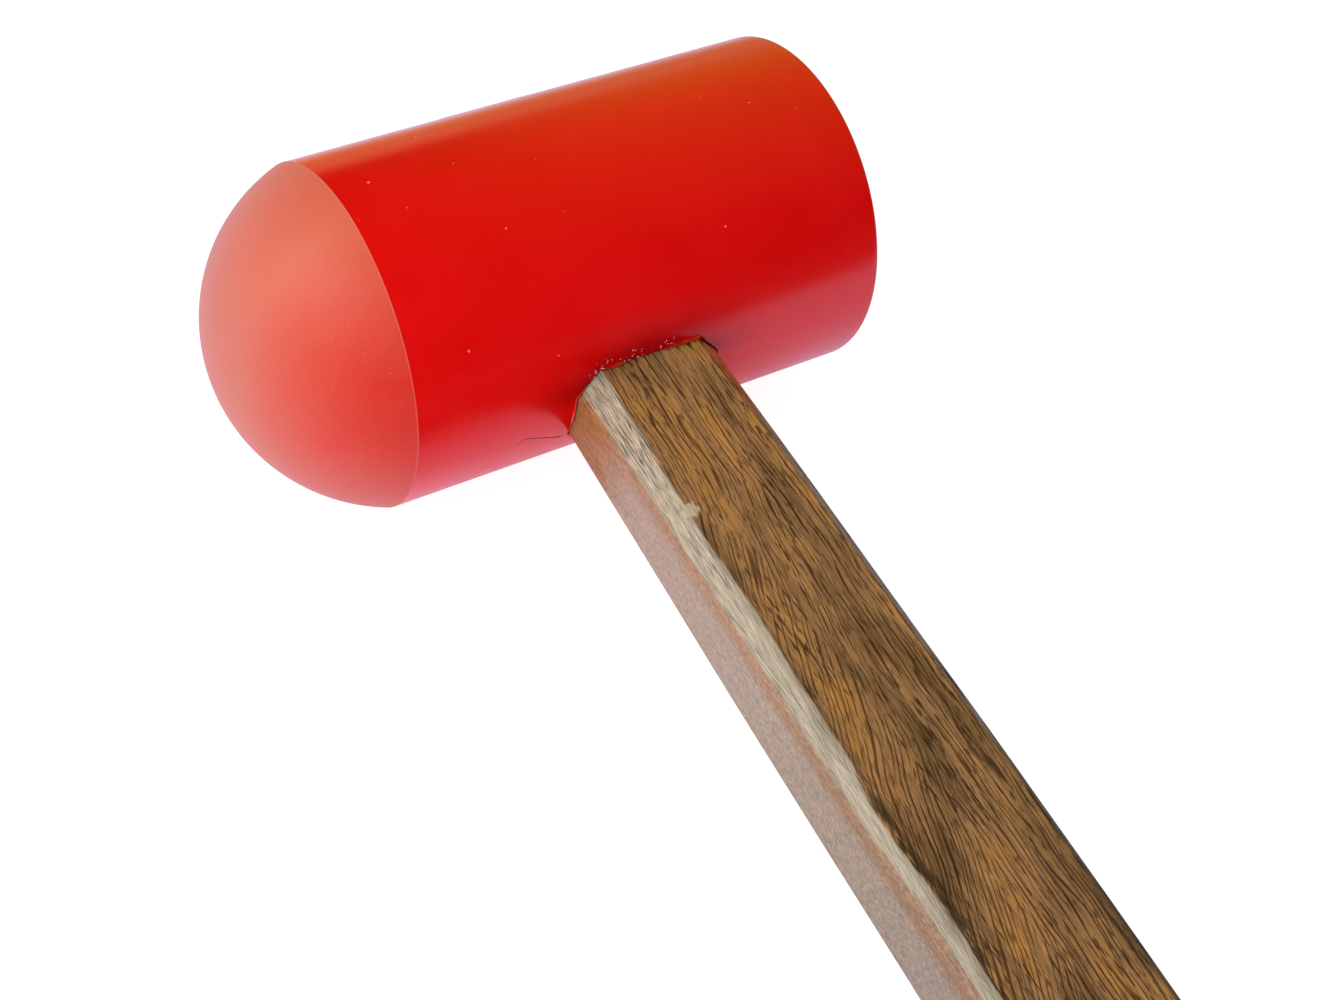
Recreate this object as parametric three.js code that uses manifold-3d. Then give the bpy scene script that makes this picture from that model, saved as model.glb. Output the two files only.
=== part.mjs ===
// A carpenter's mallet with a solid plastic head and an eight-sided wooden handle.
// Millimetres, +Z up, lying on its side. The handle runs along +Y from its butt at the origin.
// The head's axis runs along X: the domed end points to -X and the flat end to +X.

import * as THREE from 'three';
import { mergeVertices } from 'three/addons/utils/BufferGeometryUtils.js';
import Module from 'manifold-3d';

const wasm = await Module();
wasm.setup();

// Head: a round bar, turned to a shallow dome at one end and faced flat at the other.
const HEAD_RADIUS = 31.75;
const FLAT_FACE_X = 50;
const DOME_EDGE_X = -46;
const DOME_HEIGHT = 22.6;
const FACE_EDGE_BREAK = 0.6;
const HEAD_SEGMENTS = 72;
const DOME_STEPS = 16;

// Handle: eight-sided, a little wider at the butt, its four chamfers widening towards the head.
const HANDLE_LENGTH = 305;
const HANDLE_THICKNESS = 19;
const BUTT_WIDTH = 32;
const NECK_WIDTH = 29;
const NECK_CHAMFER = 4.4;
const BUTT_CHAMFER = 1.3;
const CHAMFER_FADE = 80;
const END_BREAK = 1.2;
const END_PROUD = 1.5;
const HANDLE_STATIONS = 48;

// The handle's place in the head: the eye opens out in thickness where the wedge spreads it.
const EYE_Y = HANDLE_LENGTH - END_PROUD - HEAD_RADIUS;
const NECK_Y = EYE_Y - HEAD_RADIUS;
const EYE_FLARE = 0.8;
const FIT_GAP = 0.3;
const CUTTER_MARGIN = 8;

// Saw kerf and the two wedges driven into the handle's end.
const KERF_WIDTH = 1.6;
const KERF_DEPTH = 44;
const WOOD_WEDGE = { width: NECK_WIDTH, length: 34, top: 4.2, tip: 1.0 };
const STEEL_WEDGE = { width: 12, length: 15, top: 2.4, tip: 0.8 };

const HEAD_LOOK = { color: '#d40b08', roughness: 0.42, metalness: 0 };
const HANDLE_LOOK = { color: '#7d5434', roughness: 0.5, metalness: 0 };
const WOOD_WEDGE_LOOK = { color: '#cdb189', roughness: 0.6, metalness: 0 };
const STEEL_WEDGE_LOOK = { color: '#8f9194', roughness: 0.35, metalness: 1 };

// Pattern of an eight-sided outline: two corners on each side of a square, set in by CORNER.
const CORNER = 0.5;
const OCTAGON = [
  [1, -CORNER], [1, CORNER], [CORNER, 1], [-CORNER, 1],
  [-1, CORNER], [-1, -CORNER], [-CORNER, -1], [CORNER, -1],
].map(([x, y]) => new THREE.Vector2(x, y));

function toSolid(geometry) {
  geometry.deleteAttribute('normal');
  geometry.deleteAttribute('uv');
  const merged = mergeVertices(geometry);
  return new wasm.Manifold(new wasm.Mesh({
    numProp: 3,
    vertProperties: merged.attributes.position.array,
    triVerts: Uint32Array.from(merged.index.array),
  }));
}

function toMesh(name, solid, look) {
  const { vertProperties, triVerts } = solid.getMesh();
  const geometry = new THREE.BufferGeometry();
  geometry.setAttribute('position', new THREE.BufferAttribute(vertProperties, 3));
  geometry.setIndex(new THREE.BufferAttribute(triVerts, 1));
  geometry.computeVertexNormals();
  const mesh = new THREE.Mesh(geometry, new THREE.MeshStandardMaterial(look));
  mesh.name = name;
  return mesh;
}

// Half-width, half-thickness and chamfer leg of the handle at a distance y from its butt.
// The chamfer leg falls off exponentially from the neck towards the butt.
function sectionAt(y) {
  const towardsNeck = Math.min(1, y / NECK_Y);
  const belowNeck = Math.max(0, NECK_Y - y);
  const intoEye = Math.max(0, y - NECK_Y) / (2 * HEAD_RADIUS);
  const chamferFade = Math.exp(-belowNeck / CHAMFER_FADE);
  return {
    halfWidth: THREE.MathUtils.lerp(BUTT_WIDTH, NECK_WIDTH, towardsNeck) / 2,
    halfThickness: HANDLE_THICKNESS / 2 + EYE_FLARE * intoEye,
    chamfer: THREE.MathUtils.lerp(BUTT_CHAMFER, NECK_CHAMFER, chamferFade),
  };
}

// Distance from the butt of one of a bar's stations. The first and last pairs sit END_BREAK
// apart, for the chamfer round each end.
function stationY(index, from, to) {
  if (index === 0) return from;
  if (index === HANDLE_STATIONS) return to;
  const along = (index - 1) / (HANDLE_STATIONS - 2);
  return THREE.MathUtils.lerp(from + END_BREAK, to - END_BREAK, along);
}

// A length of the handle's eight-sided bar, each side moved out by grow.
function octagonalBar(from, to, grow) {
  const bar = new THREE.ExtrudeGeometry(new THREE.Shape(OCTAGON), {
    depth: HANDLE_STATIONS,
    steps: HANDLE_STATIONS,
    bevelEnabled: false,
  });
  bar.rotateX(-Math.PI / 2);
  const corners = bar.attributes.position;
  for (let i = 0; i < corners.count; i += 1) {
    const index = Math.round(corners.getY(i));
    const y = stationY(index, from, to);
    const { halfWidth, halfThickness, chamfer } = sectionAt(y);
    const inset = index % HANDLE_STATIONS === 0 ? END_BREAK : 0;
    const width = halfWidth + grow - inset;
    const thickness = halfThickness + grow - inset;
    const sideX = Math.sign(corners.getX(i));
    const sideZ = Math.sign(corners.getZ(i));
    const onWideSide = Math.abs(corners.getX(i)) === CORNER;
    corners.setXYZ(
      i,
      sideX * (onWideSide ? width - chamfer : width),
      y,
      sideZ * (onWideSide ? thickness : thickness - chamfer),
    );
  }
  return toSolid(bar);
}

// Extrudes an outline drawn along Y and up Z, by the same distance either way along X.
function extrudeAcross(outline, depth) {
  const body = new THREE.ExtrudeGeometry(outline, { depth, bevelEnabled: false });
  body.translate(0, 0, -depth / 2);
  return body.applyMatrix4(new THREE.Matrix4().makeBasis(
    new THREE.Vector3(0, 1, 0),
    new THREE.Vector3(0, 0, 1),
    new THREE.Vector3(1, 0, 0),
  ));
}

// A wedge flush with the handle's end, its tip pointing down the handle. It spreads along Z,
// its width runs along X, and grow makes it larger all round, to cut its own seat.
function wedge({ width, length, top, tip }, grow) {
  const head = HANDLE_LENGTH + grow;
  const point = HANDLE_LENGTH - length - grow;
  const outline = new THREE.Shape([
    new THREE.Vector2(head, -top / 2 - grow),
    new THREE.Vector2(head, top / 2 + grow),
    new THREE.Vector2(point, tip / 2 + grow),
    new THREE.Vector2(point, -tip / 2 - grow),
  ]);
  return extrudeAcross(outline, width + 2 * grow);
}

function steelWedge(grow) {
  return toSolid(wedge(STEEL_WEDGE, grow).rotateY(Math.PI / 2));
}

function sawKerf() {
  const length = KERF_DEPTH + CUTTER_MARGIN;
  const kerf = new THREE.BoxGeometry(NECK_WIDTH + CUTTER_MARGIN, length, KERF_WIDTH);
  kerf.translate(0, HANDLE_LENGTH - KERF_DEPTH + length / 2, 0);
  return toSolid(kerf);
}

// The head's outline from the dome's crown to the middle of the flat face, as radius and station.
function headProfile() {
  const domeRadius = (HEAD_RADIUS ** 2 + DOME_HEIGHT ** 2) / (2 * DOME_HEIGHT);
  const domeCentre = DOME_EDGE_X - DOME_HEIGHT + domeRadius;
  const edgeAngle = Math.asin(HEAD_RADIUS / domeRadius);
  const profile = [];
  for (let step = 0; step <= DOME_STEPS; step += 1) {
    const angle = (edgeAngle * step) / DOME_STEPS;
    const radius = domeRadius * Math.sin(angle);
    profile.push(new THREE.Vector2(radius, domeCentre - domeRadius * Math.cos(angle)));
  }
  profile.push(new THREE.Vector2(HEAD_RADIUS, FLAT_FACE_X - FACE_EDGE_BREAK));
  profile.push(new THREE.Vector2(HEAD_RADIUS - FACE_EDGE_BREAK, FLAT_FACE_X));
  profile.push(new THREE.Vector2(0, FLAT_FACE_X));
  return profile;
}

function headBlank() {
  const blank = new THREE.LatheGeometry(headProfile(), HEAD_SEGMENTS);
  blank.rotateZ(-Math.PI / 2);
  blank.translate(0, EYE_Y, 0);
  return toSolid(blank);
}

const bar = octagonalBar(0, HANDLE_LENGTH, 0);
const eye = octagonalBar(NECK_Y - CUTTER_MARGIN, HANDLE_LENGTH + CUTTER_MARGIN, FIT_GAP);
const steelSeat = steelWedge(FIT_GAP);
const woodSeat = toSolid(wedge(WOOD_WEDGE, FIT_GAP));
const woodWedge = toSolid(wedge(WOOD_WEDGE, 0));

const mallet = new THREE.Group();
mallet.add(
  toMesh('mallet_head', headBlank().subtract(eye), HEAD_LOOK),
  toMesh('handle', bar.subtract(sawKerf()).subtract(woodSeat).subtract(steelSeat), HANDLE_LOOK),
  toMesh('hardwood_wedge', bar.intersect(woodWedge).subtract(steelSeat), WOOD_WEDGE_LOOK),
  toMesh('steel_wedge', steelWedge(0), STEEL_WEDGE_LOOK),
);

export default mallet;
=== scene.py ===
"""The looks of a carpenter's mallet: a red plastic head on a wedged, eight-sided walnut handle.

The mallet lies on its side, with its handle along Y and its head's axis along X. Lengths are in
metres. The sizes below are the design's own, and every place is worked out from the CAD frame.
"""
import math
import random

import bmesh
import bpy
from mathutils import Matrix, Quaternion, Vector, noise


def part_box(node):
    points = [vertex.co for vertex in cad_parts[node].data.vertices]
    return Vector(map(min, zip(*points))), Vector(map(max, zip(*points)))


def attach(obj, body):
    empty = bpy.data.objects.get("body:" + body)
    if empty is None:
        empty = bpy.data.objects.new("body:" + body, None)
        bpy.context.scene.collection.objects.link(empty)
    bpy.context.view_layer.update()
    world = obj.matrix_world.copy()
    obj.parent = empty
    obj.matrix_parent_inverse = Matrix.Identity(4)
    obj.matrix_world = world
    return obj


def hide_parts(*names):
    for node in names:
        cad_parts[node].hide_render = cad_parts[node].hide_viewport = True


MM = 0.001

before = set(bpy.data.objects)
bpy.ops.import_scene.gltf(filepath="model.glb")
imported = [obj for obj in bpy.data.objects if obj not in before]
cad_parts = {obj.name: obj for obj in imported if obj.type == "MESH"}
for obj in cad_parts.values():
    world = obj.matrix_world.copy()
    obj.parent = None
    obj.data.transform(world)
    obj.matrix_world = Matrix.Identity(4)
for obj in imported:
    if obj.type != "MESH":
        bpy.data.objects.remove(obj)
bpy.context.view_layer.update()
head_low, head_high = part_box("mallet_head")
handle_low, handle_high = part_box("handle")
wood_low, wood_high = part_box("hardwood_wedge")
steel_low, steel_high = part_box("steel_wedge")

# Head
RADIUS = (head_high.z - head_low.z) / 2
EYE_Y = (head_high.y + head_low.y) / 2
FLAT_X = head_high.x
CROWN_X = head_low.x
DOME_HEIGHT = 22.6 * MM
DOME_EDGE_X = CROWN_X + DOME_HEIGHT
DOME_RADIUS = (RADIUS**2 + DOME_HEIGHT**2) / (2 * DOME_HEIGHT)
DOME_CENTRE_X = CROWN_X + DOME_RADIUS
DOME_EDGE_ANGLE = math.asin(RADIUS / DOME_RADIUS)
FLAT_ROUNDING = 0.8 * MM
HEAD_SEGMENTS = 288
DOME_STEPS = 72
BARREL_STEPS = 64
ROUNDING_STEPS = 6

# Handle
LENGTH = handle_high.y
THICKNESS = 19 * MM
FLARED_THICKNESS = handle_high.z - handle_low.z
BUTT_WIDTH = handle_high.x - handle_low.x
NECK_WIDTH = wood_high.x - wood_low.x
NECK_Y = EYE_Y - RADIUS
NECK_CHAMFER = 4.4 * MM
BUTT_CHAMFER = 1.3 * MM
CHAMFER_FADE = 80 * MM
EDGE_SOFTNESS = 0.4 * MM
END_BREAK = 1.2 * MM
STATION_STEP = 1.5 * MM
END_STEPS = 5
HANDLE_ARC_STEPS = 4
HANDLE_SIDE_STEPS = 5
CHAMFER_STRAY = 0.3 * MM
STRAY_LENGTH = 35 * MM
STRAY_FADE = 15 * MM
QUADRANTS = ((1, 1), (-1, 1), (-1, -1), (1, -1))
PALE_CHAMFER = QUADRANTS.index((-1, 1))

# Eye and its torn lips
EYE_GAP = 0.07 * MM
EYE_SOFTNESS = 0.5 * MM
EYE_ARC_STEPS = 6
EYE_SIDE_STEPS = 26
WELD_DISTANCE = 0.002 * MM
ROUGHNESS_PER_METRE = 900
RIM_PROFILE = ((0.6, -0.4), (0.32, 0.0), (0.15, 0.15), (0.05, 0.35), (0.0, 0.7))
RIGHT_LIP = (2 * MM, NECK_WIDTH * 0.4)
LEFT_LIP = (-10 * MM, -4 * MM)
SIDE_LIP_LOW = -4 * MM
RIGHT_LIP_HEIGHT = 1.0 * MM
LEFT_LIP_HEIGHT = 0.6 * MM
SIDE_LIP_HEIGHT = 0.35 * MM
LIP_ROUGHNESS_PER_METRE = 1300

# Burrs: their number, then the ranges of their place along X, length and thickness in millimetres
BURRS = 52
BURR_SPAN = (-12.5, 5)
BURR_LENGTH = (0.2, 0.75)
BURR_THICKNESS = (0.1, 0.24)
BURR_STEPS = 5
BURR_SIDES = 6

# Crack, as places in X and Z
CRACK_START = Vector((-15.9 * MM, -5.4 * MM))
CRACK_BEND = Vector((-23.8 * MM, -1.5 * MM))
CRACK_END = Vector((-26.4 * MM, -2.7 * MM))
CRACK_WIDTH = 0.5 * MM
CRACK_DEPTH = 0.6 * MM
CRACK_STEPS = 20
CRACK_WAVER = 0.3 * MM

# Saw kerf and wedges
KERF_WIDTH = 1.6 * MM
KERF_DEPTH = 44 * MM
WEDGE_GAP = 0.06 * MM
WOOD_TIP = 1.0 * MM
STEEL_TIP = 0.8 * MM

# Camera and floor
CAMERA_AIM = Vector((-8.1 * MM, EYE_Y - 53.5 * MM, 0))
CAMERA_DISTANCE = 400 * MM
CAMERA_AZIMUTH = math.radians(-46.4)
CAMERA_ELEVATION = math.radians(53.0)
CAMERA_ROLL = math.radians(19.5)
CAMERA_LENS = 62.0
FLOOR_RADIUS = 0.75
AMBIENT = (0.46, 0.46, 0.46, 1)
PAPER_REFLECTED = (0.8, 0.8, 0.8, 1)
PAPER_GREY = (0.25, 0.25, 0.25, 1)
COOL_FLOOR = (0.95, 0.95, 1.25, 1)
WARM_FLOOR = (0.9, 0.55, 0.2, 1)
ROOM = (0.006, 0.006, 0.006, 1)
WARM_ROOM = (1.0, 0.7, 0.06, 1)
SHEET_FRONT = -0.045
SHEET_FADE = 0.08
SHEET_SLANT = 0.7


# ---------------------------------------------------------------- mesh helpers

def lerp(start, end, share):
    return start + (end - start) * share


def linked(name, data):
    made = bpy.data.objects.new(name, data)
    bpy.context.scene.collection.objects.link(made)
    return made


def loft_into(mesh, rings):
    """Adds a closed body through rings of points, each end closed by one face."""
    layers = [[mesh.verts.new(point) for point in ring] for ring in rings]
    count = len(rings[0])
    for lower, upper in zip(layers, layers[1:]):
        for i in range(count):
            j = (i + 1) % count
            mesh.faces.new((lower[i], lower[j], upper[j], upper[i]))
    mesh.faces.new(layers[0][::-1])
    mesh.faces.new(layers[-1])


def lofted(name, *bodies):
    """An object of closed bodies, each given as its rings."""
    mesh = bmesh.new()
    for rings in bodies:
        loft_into(mesh, rings)
    bmesh.ops.recalc_face_normals(mesh, faces=mesh.faces)
    data = bpy.data.meshes.new(name)
    mesh.to_mesh(data)
    mesh.free()
    return linked(name, data)


def bake(target):
    """Makes the target's modifiers part of its mesh."""
    graph = bpy.context.evaluated_depsgraph_get()
    result = bpy.data.meshes.new_from_object(target.evaluated_get(graph))
    target.modifiers.clear()
    target.data = result


def combine(target, operation, *others):
    for other in others:
        modifier = target.modifiers.new("combine", "BOOLEAN")
        modifier.operation = operation
        modifier.solver = "EXACT"
        modifier.object = other
    bake(target)


def weld(piece):
    """Joins points that lie so close together that the faces between them are slivers."""
    mesh = bmesh.new()
    mesh.from_mesh(piece.data)
    bmesh.ops.remove_doubles(mesh, verts=mesh.verts, dist=WELD_DISTANCE)
    mesh.to_mesh(piece.data)
    mesh.free()


def discard(*pieces):
    for piece in pieces:
        bpy.data.objects.remove(piece)


def shade(piece, *materials, sharp_angle=30):
    piece.data.materials.clear()
    for material in materials:
        piece.data.materials.append(material)
    piece.data.shade_smooth()
    piece.data.set_sharp_from_angle(angle=math.radians(sharp_angle))


def place(piece, slot, *nodes):
    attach(piece, "root")
    if nodes:
        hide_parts(*nodes)


def rounded_outline(corners, softness, arc_steps, side_steps):
    """The points of a closed outline whose corners are rounded over the length softness."""
    points = []
    for i, corner in enumerate(corners):
        next_corner = corners[(i + 1) % len(corners)]
        before = (corners[i - 1] - corner).normalized() * softness
        after = (next_corner - corner).normalized() * softness
        for step in range(arc_steps + 1):
            t = step / arc_steps
            points.append(corner + before * (1 - t) ** 2 + after * t**2)
        for step in range(1, side_steps):
            points.append((corner + after).lerp(next_corner - after, step / side_steps))
    return points


# ---------------------------------------------------------------- handle

def chamfer_wander(index, y):
    """How far one hand-cut chamfer strays from its design leg. It does not stray inside the head."""
    free = 1 - math.exp(-max(0, NECK_Y - y) / STRAY_FADE)
    stray = CHAMFER_STRAY * noise.noise(Vector((index * 7.31, y / STRAY_LENGTH, 0.5)))
    return free * stray


def handle_section(y):
    """Half-width, half-thickness and chamfer leg of the handle at y."""
    half_width = lerp(BUTT_WIDTH, NECK_WIDTH, min(1, y / NECK_Y)) / 2
    into_eye = max(0, y - NECK_Y) / (LENGTH - NECK_Y)
    half_thickness = lerp(THICKNESS, FLARED_THICKNESS, into_eye) / 2
    fade = math.exp(-max(0, NECK_Y - y) / CHAMFER_FADE)
    return half_width, half_thickness, lerp(BUTT_CHAMFER, NECK_CHAMFER, fade)


def octagon(y, grow):
    """Corners of the handle's section, in X and Z. Each chamfer wanders a little on its own."""
    half_width, half_thickness, chamfer = handle_section(y)
    width, thickness = half_width + grow, half_thickness + grow
    corners = []
    for index, (side_x, side_z) in enumerate(QUADRANTS):
        leg = chamfer + chamfer_wander(index, y)
        on_side = Vector((side_x * width, side_z * (thickness - leg)))
        on_face = Vector((side_x * (width - leg), side_z * thickness))
        corners += [on_side, on_face] if side_x * side_z > 0 else [on_face, on_side]
    return corners


def handle_ring(y, grow=0.0):
    corners = octagon(y, grow)
    outline = rounded_outline(corners, EDGE_SOFTNESS, HANDLE_ARC_STEPS, HANDLE_SIDE_STEPS)
    return [Vector((point.x, y, point.y)) for point in outline]


def end_rings(y, outwards):
    """Rings that round one end's edge over, ending in a narrow flat border of the end face."""
    rings = []
    for step in range(END_STEPS + 1):
        angle = math.radians(90 * step / END_STEPS)
        inset = END_BREAK * (1 - math.cos(angle))
        rings.append(handle_ring(y + outwards * END_BREAK * (math.sin(angle) - 1), -inset))
    rings.append(handle_ring(y, -END_BREAK * 1.5))
    return rings


def handle_blank():
    count = int(LENGTH / STATION_STEP)
    inner = [lerp(END_BREAK, LENGTH - END_BREAK, i / count) for i in range(1, count)]
    rings = end_rings(0, -1)[::-1] + [handle_ring(y) for y in inner] + end_rings(LENGTH, 1)
    return lofted("handle_blank", rings)


def block(name, low, high, tip, grow):
    """A wedge with its head at high.y and its tip at low.y, spreading along its thinner side."""
    half = (high - low) / 2
    along_z = half.z < half.x
    rings = []
    for y, spread in ((low.y - grow, tip / 2), (high.y + grow, min(half.x, half.z))):
        x = (half.x if along_z else spread) + grow
        z = (spread if along_z else half.z) + grow
        rings.append([Vector((a * x, y, b * z)) for a, b in QUADRANTS])
    return lofted(name, rings)


def kerf():
    half_width = NECK_WIDTH
    rings = []
    for y in (LENGTH - KERF_DEPTH, LENGTH + KERF_WIDTH):
        rings.append([Vector((a * half_width, y, b * KERF_WIDTH / 2)) for a, b in QUADRANTS])
    return lofted("kerf", rings)


def soften(piece, width):
    """Rounds the piece's sharp edges."""
    modifier = piece.modifiers.new("soften", "BEVEL")
    modifier.width = width
    modifier.segments = 3
    modifier.limit_method = "ANGLE"
    modifier.angle_limit = math.radians(40)
    bake(piece)


def measure_pale_chamfer(data):
    """Stores where each point lies by the -X, +Z chamfer: how far inside its plane, in mm, and
    how far up it, from 0 at its lower edge to 1 at its upper edge."""
    inside = data.attributes.new("off_pale_chamfer", "FLOAT", "POINT")
    climb = data.attributes.new("up_pale_chamfer", "FLOAT", "POINT")
    for vertex, off, up in zip(data.vertices, inside.data, climb.data):
        x, y, z = vertex.co
        half_width, half_thickness, leg = handle_section(y)
        leg += chamfer_wander(PALE_CHAMFER, y)
        off.value = (half_width + half_thickness - leg + x - z) / MM
        up.value = (half_width + x + z - half_thickness + leg) / (2 * leg)


def build_handle_and_wedges(walnut, pale_wood, steel):
    blank = handle_blank()
    handle = linked("walnut_handle", blank.data.copy())
    wood = block("pale_hardwood_wedge", wood_low, wood_high, WOOD_TIP, 0)
    iron = block("steel_cross_wedge", steel_low, steel_high, STEEL_TIP, 0)
    wood_seat = block("wood_seat", wood_low, wood_high, WOOD_TIP, WEDGE_GAP)
    iron_seat = block("iron_seat", steel_low, steel_high, STEEL_TIP, WEDGE_GAP)
    saw_cut = kerf()
    combine(wood, "INTERSECT", blank)
    combine(wood, "DIFFERENCE", iron_seat)
    combine(handle, "DIFFERENCE", saw_cut, wood_seat, iron_seat)
    discard(blank, wood_seat, iron_seat, saw_cut)
    soften(iron, 0.15 * MM)
    measure_pale_chamfer(handle.data)
    shade(handle, walnut)
    shade(wood, pale_wood)
    shade(iron, steel)
    place(handle, "walnut", "handle")
    place(wood, "pale_hardwood", "hardwood_wedge")
    place(iron, "wedge_steel", "steel_wedge")


# ---------------------------------------------------------------- head

def head_profile():
    """The head's outline from the crown to the flat: pairs of place along X and radius."""
    profile = []
    for step in range(1, DOME_STEPS + 1):
        angle = DOME_EDGE_ANGLE * step / DOME_STEPS
        x = DOME_CENTRE_X - DOME_RADIUS * math.cos(angle)
        profile.append((x, DOME_RADIUS * math.sin(angle)))
    barrel_end = FLAT_X - FLAT_ROUNDING
    for step in range(1, BARREL_STEPS + 1):
        profile.append((lerp(DOME_EDGE_X, barrel_end, step / BARREL_STEPS), RADIUS))
    for step in range(1, ROUNDING_STEPS + 1):
        angle = math.radians(90 * step / ROUNDING_STEPS)
        radius = RADIUS - FLAT_ROUNDING * (1 - math.cos(angle))
        profile.append((barrel_end + FLAT_ROUNDING * math.sin(angle), radius))
    profile.append((FLAT_X, RADIUS - 2 * FLAT_ROUNDING))
    return profile


def head_ring(x, radius):
    angles = [2 * math.pi * (i + 0.5) / HEAD_SEGMENTS for i in range(HEAD_SEGMENTS)]
    return [Vector((x, EYE_Y + radius * math.cos(a), radius * math.sin(a))) for a in angles]


def eye_outline(y, grow):
    corners = octagon(y, EYE_GAP + grow)
    return rounded_outline(corners, EYE_SOFTNESS, EYE_ARC_STEPS, EYE_SIDE_STEPS)


def mouth_rings(outwards):
    """Rings from outside the barrel down into the eye's mouth, whose edge is roughly broken."""
    mouth_y = EYE_Y + outwards * RADIUS
    above_y = mouth_y + outwards * 4 * MM
    rings = [[Vector((point.x, above_y, point.y)) for point in eye_outline(mouth_y, 1 * MM)]]
    for grow, depth in RIM_PROFILE:
        ring = []
        for point in eye_outline(mouth_y, grow * MM):
            rough = noise.noise(Vector((point.x, outwards, point.y)) * ROUGHNESS_PER_METRE)
            out = point * (1 + rough * grow * 0.012)
            surface = math.sqrt(RADIUS**2 - out.y**2)
            ring.append(Vector((out.x, EYE_Y + outwards * (surface - depth * MM), out.y)))
        rings.append(ring)
    return rings


def eye_cutter():
    front, back = mouth_rings(-1), mouth_rings(1)
    inner = []
    for step in range(1, 8):
        y = lerp(NECK_Y + 4 * MM, EYE_Y + RADIUS - 4 * MM, step / 8)
        inner.append([Vector((point.x, y, point.y)) for point in eye_outline(y, 0)])
    return lofted("eye_cutter", front + inner + back[::-1])


def crack_cutter():
    """A hairline body along the crack, which runs over the barrel from the eye towards the dome."""
    path = [CRACK_START.lerp(CRACK_BEND, step / CRACK_STEPS) for step in range(CRACK_STEPS)]
    path += [CRACK_BEND.lerp(CRACK_END, step / CRACK_STEPS) for step in range(CRACK_STEPS + 1)]
    rings = []
    for step, (x, z) in enumerate(path):
        z += noise.noise(Vector((x * ROUGHNESS_PER_METRE, 3.7, 0))) * CRACK_WAVER
        half = CRACK_WIDTH / 2 * (1.1 - step / (2 * CRACK_STEPS))
        surface = EYE_Y - math.sqrt(RADIUS**2 - z**2)
        top, bottom = surface - 0.5 * MM, surface + CRACK_DEPTH
        left, right = Vector((x, top, z - half)), Vector((x, top, z + half))
        rings.append([left, right, Vector((x, bottom, z))])
    return lofted("crack_cutter", rings)


def head_material(centre):
    """0 for the bar's skin, 1 for the turned ends, 2 for the raw insides of the eye and crack."""
    edge = 0.02 * MM
    if centre.x < DOME_EDGE_X - edge or centre.x > FLAT_X - FLAT_ROUNDING / 2:
        return 1
    if abs(centre.x) > FLAT_X - 2 * FLAT_ROUNDING:
        return 0
    below_skin = RADIUS - math.hypot(centre.y - EYE_Y, centre.z)
    beside_eye = abs(centre.x) > NECK_WIDTH / 2 + 0.8 * MM
    return 2 if below_skin > (2 * edge if beside_eye else 0.5 * MM) else 0


def build_head(cast, sanded, cut):
    head = lofted("plastic_head", [head_ring(x, radius) for x, radius in head_profile()])
    cutters = eye_cutter(), crack_cutter()
    combine(head, "DIFFERENCE", *cutters)
    weld(head)
    discard(*cutters)
    shade(head, cast, sanded, cut, sharp_angle=16)
    for face in head.data.polygons:
        face.material_index = head_material(face.center)
    place(head, "head_plastic", "mallet_head")


def lip_rings(path, height):
    """A ridge of torn plastic along points on the eye's edge, thin and uneven."""
    rings = []
    for i, point in enumerate(path):
        share = i / (len(path) - 1)
        swell = math.sin(math.pi * share) ** 0.5 if 0 < share < 1 else 0.1
        spot = Vector((point.x, point.y, 0.4)) * LIP_ROUGHNESS_PER_METRE
        rough = 0.75 + 0.9 * noise.noise(spot)
        rise = height * swell * max(0.2, rough)
        surface = math.sqrt(RADIUS**2 - point.y**2)
        outwards = Vector((0, -surface, point.y)).normalized()
        away = Vector((point.x * 0.3, 0, point.y)).normalized()
        root = Vector((point.x, EYE_Y - surface, point.y)) - outwards * 0.2 * MM
        crest = root + outwards * (rise + 0.2 * MM) + away * rise * 0.3
        rings.append([root - away * 0.12 * MM, crest, root + away * (0.15 * MM + rise * 0.6)])
    return rings


def build_lips(material):
    """Raised lips on the eye's edge: two over the handle's top face, one down its -X side."""
    outline = eye_outline(NECK_Y, 0.3 * MM)
    over = sorted((p for p in outline if p.y > THICKNESS * 0.4), key=lambda p: p.x)
    right = [p for p in over if RIGHT_LIP[0] < p.x < RIGHT_LIP[1]]
    left = [p for p in over if LEFT_LIP[0] < p.x < LEFT_LIP[1]]
    side = [p for p in outline if p.x < -NECK_WIDTH * 0.45 and p.y > SIDE_LIP_LOW]
    side.sort(key=lambda p: p.y)
    heights = (right, RIGHT_LIP_HEIGHT), (left, LEFT_LIP_HEIGHT), (side, SIDE_LIP_HEIGHT)
    lips = lofted("eye_lips", *(lip_rings(path, height) for path, height in heights))
    shade(lips, material, sharp_angle=80)
    place(lips, "head_plastic")


def shred_rings(root, direction, length, thickness, chance):
    """A curled sliver of torn plastic that stands on root and thins to a point."""
    side = direction.cross(Vector((chance.uniform(-1, 1), 0.3, chance.uniform(-1, 1)))).normalized()
    other = direction.cross(side).normalized()
    curl = chance.uniform(-0.6, 0.6)
    rings = []
    for step in range(BURR_STEPS + 1):
        t = step / BURR_STEPS
        centre = root + direction * length * t + side * length * curl * t * t
        radius = thickness * (1 - 0.85 * t) / 2
        turns = [2 * math.pi * i / BURR_SIDES for i in range(BURR_SIDES)]
        rings.append([
            centre + side * radius * math.cos(a) + other * radius * math.sin(a) for a in turns
        ])
    return rings


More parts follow.
